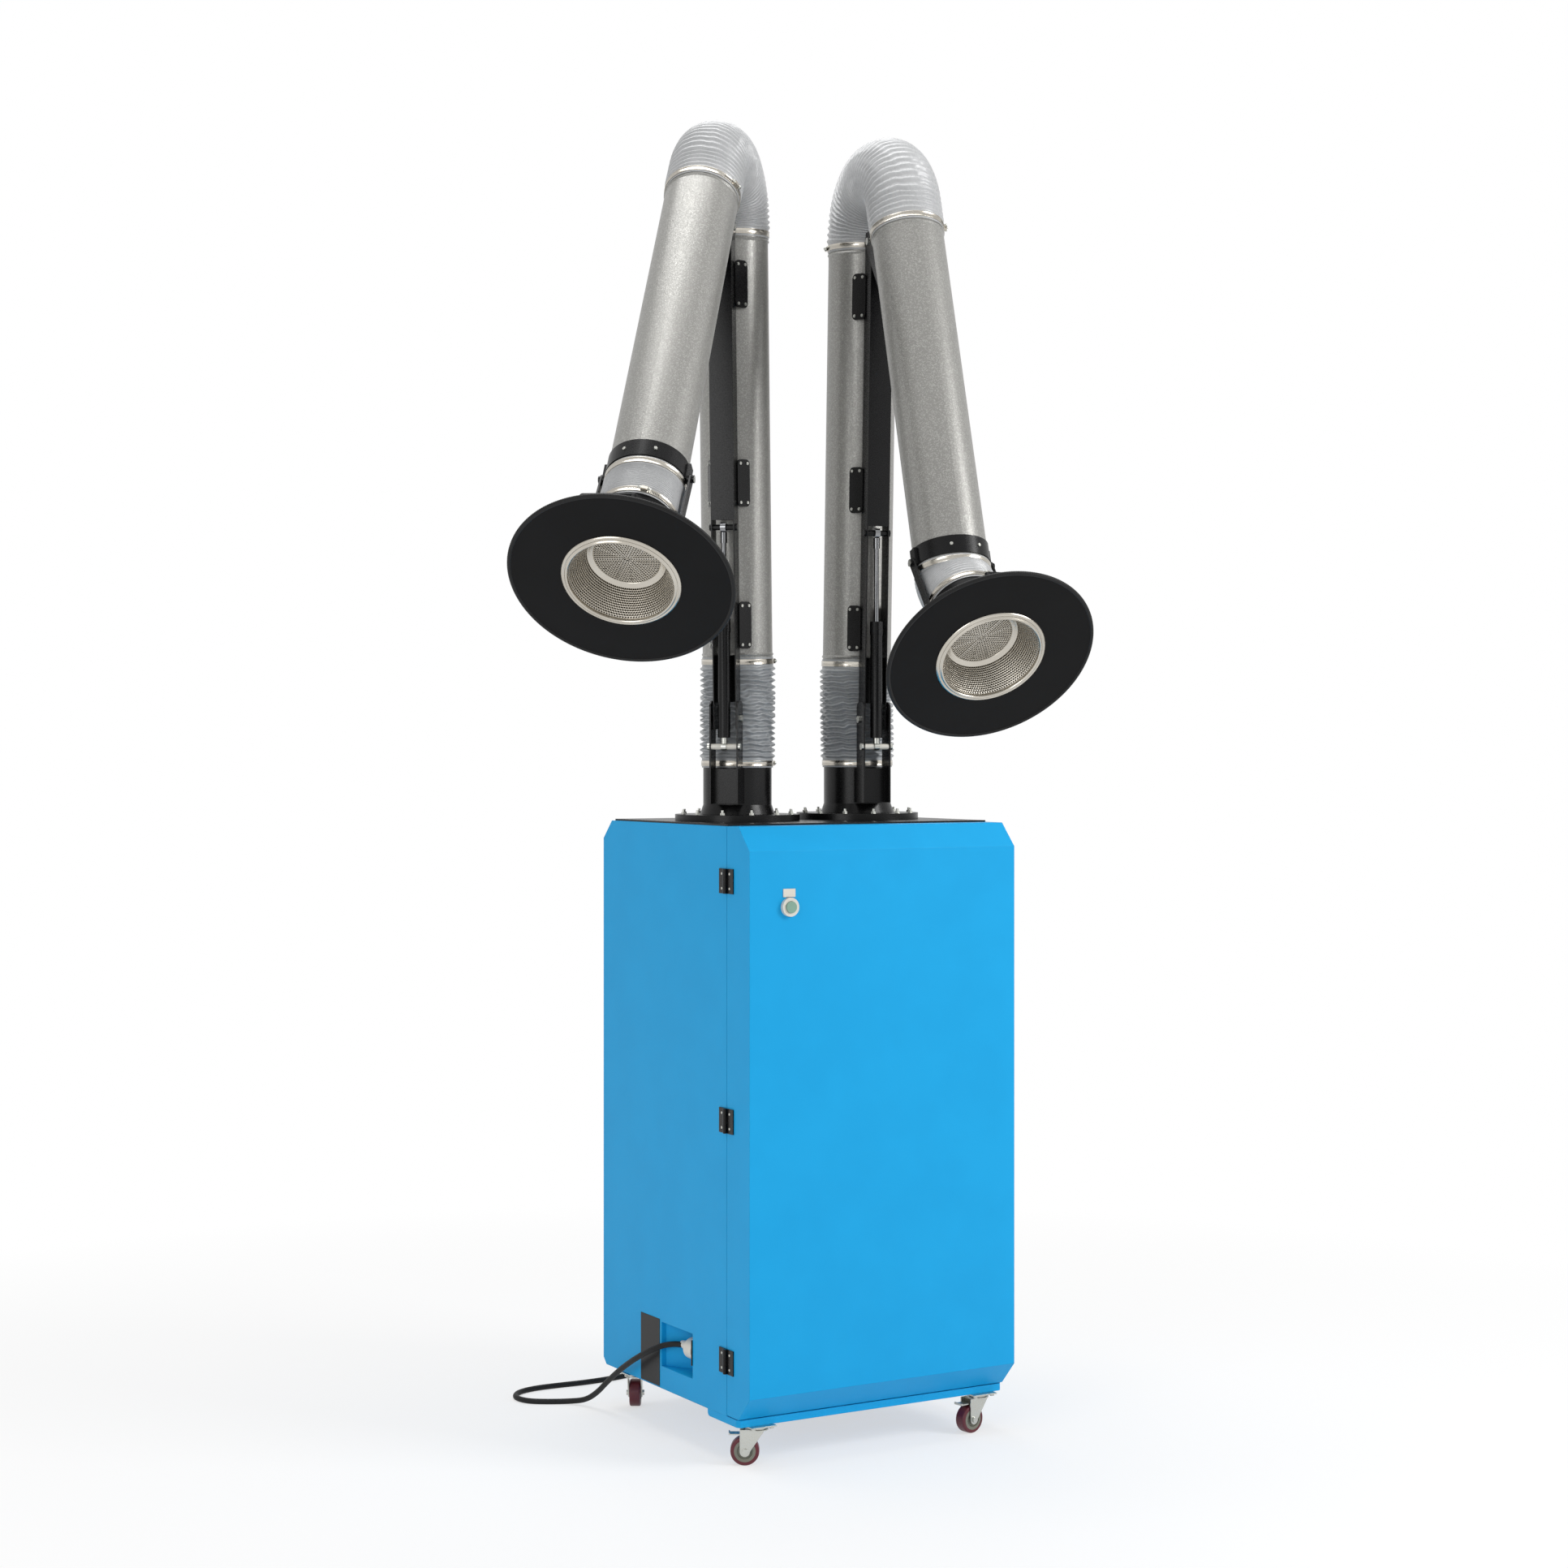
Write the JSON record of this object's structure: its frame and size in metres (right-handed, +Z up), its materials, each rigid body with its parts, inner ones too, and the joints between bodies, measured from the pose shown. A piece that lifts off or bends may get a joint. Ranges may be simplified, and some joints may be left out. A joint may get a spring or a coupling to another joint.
{
  "type": "mobile welding fume extractor",
  "caption": "Wheeled filter cabinet with a hinged front door and swivelling jointed extraction arms that end in round flanged hoods.",
  "frame": {"origin": "on the floor under the middle of the bounding box, measured without the cord", "axes": "+Z up; the cabinet's door faces -Y; the hinges and the mains recess are on its -X side"},
  "size_m": [1.382, 1.8556, 2.9465],
  "materials": {
    "blue_powder_coat": "satin",
    "black_powder_coat": "satin",
    "hammertone_paint": "satin",
    "grey_pvc": "satin",
    "stainless_steel": "satin",
    "zinc_plate": "satin",
    "red_polyurethane": "satin",
    "green_lens": "gloss",
    "black_rubber": "matte",
    "filter_paper": "matte",
    "galvanised_sheet": "satin",
    "motor_casting": "matte",
    "grey_plastic": "satin"
  },
  "bodies": {
    "cabinet": {"cabinet_shell": "blue_powder_coat", "lock_striker": "zinc_plate", "base_frame": "blue_powder_coat", "top_plate": "black_powder_coat", "turntables": "black_powder_coat", "hinge_frame_leaves": "black_powder_coat", "power_inlet": "black_powder_coat", "filter_plate": "galvanised_sheet", "filter_cartridges": "filter_paper", "fan_housing": "galvanised_sheet", "fan_motor": "motor_casting", "castor_plates": "zinc_plate", "inlet_plug": "grey_plastic", "power_cord": "black_rubber", "cord_coil": "black_rubber", "mains_plug": "black_rubber"},
    "door": {"door_panel": "blue_powder_coat", "door_fittings": "black_powder_coat"},
    "button": {"button_cap": "green_lens"},
    "lock": {"door_lock": "zinc_plate"},
    "tray": {"dust_tray": "galvanised_sheet"},
    "impeller": {"fan_impeller": "galvanised_sheet"},
    "front_left_castor": {"front_left_castor_fork": "zinc_plate"},
    "front_left_wheel": {"front_left_castor_wheel": "red_polyurethane"},
    "front_left_pedal": {"front_left_brake_pedal": "zinc_plate"},
    "front_right_castor": {"front_right_castor_fork": "zinc_plate"},
    "front_right_wheel": {"front_right_castor_wheel": "red_polyurethane"},
    "front_right_pedal": {"front_right_brake_pedal": "zinc_plate"},
    "rear_left_castor": {"rear_left_castor_fork": "zinc_plate"},
    "rear_left_wheel": {"rear_left_castor_wheel": "red_polyurethane"},
    "rear_right_castor": {"rear_right_castor_fork": "zinc_plate"},
    "rear_right_wheel": {"rear_right_castor_wheel": "red_polyurethane"},
    "left_swivel": {"left_swivel_collar": "black_powder_coat", "left_lower_hose": "grey_pvc"},
    "left_lower_arm": {"left_lower_tube": "hammertone_paint", "left_arm_channel": "black_powder_coat", "left_elbow_hose": "grey_pvc"},
    "left_gas_cylinder": {"left_gas_cylinder": "black_powder_coat"},
    "left_gas_rod": {"left_gas_rod": "zinc_plate"},
    "left_upper_arm": {"left_upper_tube": "hammertone_paint", "left_elbow_bracket": "black_powder_coat"},
    "left_wrist_band": {"left_wrist_band": "black_powder_coat", "left_hood_hose": "grey_pvc"},
    "left_wrist_bars": {"left_wrist_bars": "black_powder_coat"},
    "left_hood": {"left_hood_flange": "black_powder_coat", "left_hood_basket": "stainless_steel"},
    "right_swivel": {"right_swivel_collar": "black_powder_coat", "right_lower_hose": "grey_pvc"},
    "right_lower_arm": {"right_lower_tube": "hammertone_paint", "right_arm_channel": "black_powder_coat", "right_elbow_hose": "grey_pvc"},
    "right_gas_cylinder": {"right_gas_cylinder": "black_powder_coat"},
    "right_gas_rod": {"right_gas_rod": "zinc_plate"},
    "right_upper_arm": {"right_upper_tube": "hammertone_paint", "right_elbow_bracket": "black_powder_coat"},
    "right_wrist_band": {"right_wrist_band": "black_powder_coat", "right_hood_hose": "grey_pvc"},
    "right_wrist_bars": {"right_wrist_bars": "black_powder_coat"},
    "right_hood": {"right_hood_flange": "black_powder_coat", "right_hood_basket": "stainless_steel"}
  },
  "joints": [
    {"name": "door_hinge", "type": "hinge", "parent": "cabinet", "child": "door", "pos_m": [-0.00875, 0.03239, 0.744], "axis": [0, 0, 1], "range_deg": [-110, 0]},
    {"name": "button_press", "type": "slide", "parent": "door", "child": "button", "axis": [0, 1, 0], "range_m": [0, 0.002], "stiffness_N_per_m": 900, "springref_m": -0.001},
    {"name": "lock_turn", "type": "hinge", "parent": "door", "child": "lock", "pos_m": [0.68805, 0.00514, 0.745], "axis": [1, 0, 0], "range_deg": [-90, 0]},
    {"name": "tray_slide", "type": "slide", "parent": "cabinet", "child": "tray", "axis": [0, -1, 0], "range_m": [0, 0.085]},
    {"name": "impeller_spin", "type": "hinge", "parent": "cabinet", "child": "impeller", "pos_m": [0.40405, 0.48914, 0.304], "axis": [1, 0, 0], "continuous": true},
    {"name": "front_left_castor_swivel", "type": "hinge", "parent": "cabinet", "child": "front_left_castor", "pos_m": [0.05205, -0.00286, 0.088], "axis": [0, 0, 1], "continuous": true},
    {"name": "front_left_wheel_roll", "type": "hinge", "parent": "front_left_castor", "child": "front_left_wheel", "pos_m": [0.02878, 0.01084, 0.0315], "axis": [-0.5075, -0.8616, 0], "continuous": true},
    {"name": "front_left_brake", "type": "hinge", "parent": "front_left_castor", "child": "front_left_pedal", "pos_m": [0.0486, -0.00083, 0.0665], "axis": [-0.5075, -0.8616, 0], "range_deg": [0, 6]},
    {"name": "front_right_castor_swivel", "type": "hinge", "parent": "cabinet", "child": "front_right_castor", "pos_m": [0.63205, -0.00286, 0.088], "axis": [0, 0, 1], "continuous": true},
    {"name": "front_right_wheel_roll", "type": "hinge", "parent": "front_right_castor", "child": "front_right_wheel", "pos_m": [0.60538, -0.00709, 0.0315], "axis": [0.1564, -0.9877, 0], "continuous": true},
    {"name": "front_right_brake", "type": "hinge", "parent": "front_right_castor", "child": "front_right_pedal", "pos_m": [0.6281, -0.00349, 0.0665], "axis": [0.1564, -0.9877, 0], "range_deg": [0, 6]},
    {"name": "rear_left_castor_swivel", "type": "hinge", "parent": "cabinet", "child": "rear_left_castor", "pos_m": [0.05205, 0.57414, 0.088], "axis": [0, 0, 1], "continuous": true},
    {"name": "rear_left_wheel_roll", "type": "hinge", "parent": "rear_left_castor", "child": "rear_left_wheel", "pos_m": [0.06595, 0.59728, 0.0315], "axis": [-0.8572, 0.515, 0], "continuous": true},
    {"name": "rear_right_castor_swivel", "type": "hinge", "parent": "cabinet", "child": "rear_right_castor", "pos_m": [0.63205, 0.57414, 0.088], "axis": [0, 0, 1], "continuous": true},
    {"name": "rear_right_wheel_roll", "type": "hinge", "parent": "rear_right_castor", "child": "rear_right_wheel", "pos_m": [0.60531, 0.5779, 0.0315], "axis": [-0.1392, -0.9903, 0], "continuous": true},
    {"name": "left_arm_swivel", "type": "hinge", "parent": "cabinet", "child": "left_swivel", "pos_m": [0.18005, 0.31014, 1.388], "axis": [0, 0, 1], "range_deg": [-75, 15]},
    {"name": "left_shoulder", "type": "hinge", "parent": "left_swivel", "child": "left_lower_arm", "pos_m": [0.10672, 0.23084, 1.62], "axis": [0.7342, -0.6789, 0], "range_deg": [-8, 28], "deforming": ["left_lower_hose"]},
    {"name": "left_gas_spring_tilt", "type": "hinge", "parent": "left_swivel", "child": "left_gas_cylinder", "pos_m": [0.09179, 0.21469, 1.557], "axis": [0.7342, -0.6789, 0], "range_deg": [-9, 27]},
    {"name": "left_gas_spring_stroke", "type": "slide", "parent": "left_gas_cylinder", "child": "left_gas_rod", "axis": [-0.0064, -0.007, 1], "range_m": [-0.018, 0.006]},
    {"name": "left_elbow", "type": "hinge", "parent": "left_lower_arm", "child": "left_upper_arm", "pos_m": [0.06302, 0.18358, 2.71475], "axis": [0.7342, -0.6789, 0], "range_deg": [-40, 20], "deforming": ["left_elbow_hose"]},
    {"name": "left_wrist_turn", "type": "hinge", "parent": "left_upper_arm", "child": "left_wrist_band", "pos_m": [-0.3619, -0.27593, 2.09181], "axis": [0.3903, 0.4221, 0.8183], "range_deg": [-90, 90]},
    {"name": "left_wrist_tilt", "type": "hinge", "parent": "left_wrist_band", "child": "left_wrist_bars", "pos_m": [-0.3619, -0.27593, 2.09181], "axis": [0.7438, -0.6683, -0.01], "range_deg": [-30, 15], "deforming": ["left_hood_hose"]},
    {"name": "left_hood_tilt", "type": "hinge", "parent": "left_wrist_bars", "child": "left_hood", "pos_m": [-0.42195, -0.34124, 1.99006], "axis": [0.7438, -0.6683, -0.01], "range_deg": [-25, 20], "deforming": ["left_hood_hose"]},
    {"name": "right_arm_swivel", "type": "hinge", "parent": "cabinet", "child": "right_swivel", "pos_m": [0.50405, 0.31014, 1.388], "axis": [0, 0, 1], "range_deg": [-12, 80]},
    {"name": "right_shoulder", "type": "hinge", "parent": "right_swivel", "child": "right_lower_arm", "pos_m": [0.48087, 0.20465, 1.62], "axis": [0.9767, -0.2146, 0], "range_deg": [-8, 28], "deforming": ["right_lower_hose"]},
    {"name": "right_gas_spring_tilt", "type": "hinge", "parent": "right_swivel", "child": "right_gas_cylinder", "pos_m": [0.47615, 0.18317, 1.557], "axis": [0.9767, -0.2146, 0], "range_deg": [-9, 27]},
    {"name": "right_gas_spring_stroke", "type": "slide", "parent": "right_gas_cylinder", "child": "right_gas_rod", "axis": [-0.0008, -0.0038, 1], "range_m": [-0.018, 0.006]},
    {"name": "right_elbow", "type": "hinge", "parent": "right_lower_arm", "child": "right_upper_arm", "pos_m": [0.46858, 0.14868, 2.71514], "axis": [0.9767, -0.2146, 0], "range_deg": [-55, 8], "deforming": ["right_elbow_hose"]},
    {"name": "right_wrist_turn", "type": "hinge", "parent": "right_upper_arm", "child": "right_wrist_band", "pos_m": [0.37535, -0.27567, 1.94639], "axis": [0.0714, 0.3249, 0.943], "range_deg": [-90, 90]},
    {"name": "right_wrist_tilt", "type": "hinge", "parent": "right_wrist_band", "child": "right_wrist_bars", "pos_m": [0.37535, -0.27567, 1.94639], "axis": [0.986, -0.1661, -0.0174], "range_deg": [-15, 30], "deforming": ["right_hood_hose"]},
    {"name": "right_hood_tilt", "type": "hinge", "parent": "right_wrist_bars", "child": "right_hood", "pos_m": [0.35866, -0.3643, 1.84593], "axis": [0.986, -0.1661, -0.0174], "range_deg": [-20, 25], "deforming": ["right_hood_hose"]}
  ],
  "couplings": [
    {"joint": "left_gas_spring_tilt", "follows": "left_shoulder", "ratio": 0.88},
    {"joint": "left_gas_spring_stroke", "follows": "left_shoulder", "m_per_rad": -0.032},
    {"joint": "right_gas_spring_tilt", "follows": "right_shoulder", "ratio": 0.88},
    {"joint": "right_gas_spring_stroke", "follows": "right_shoulder", "m_per_rad": -0.032}
  ]
}
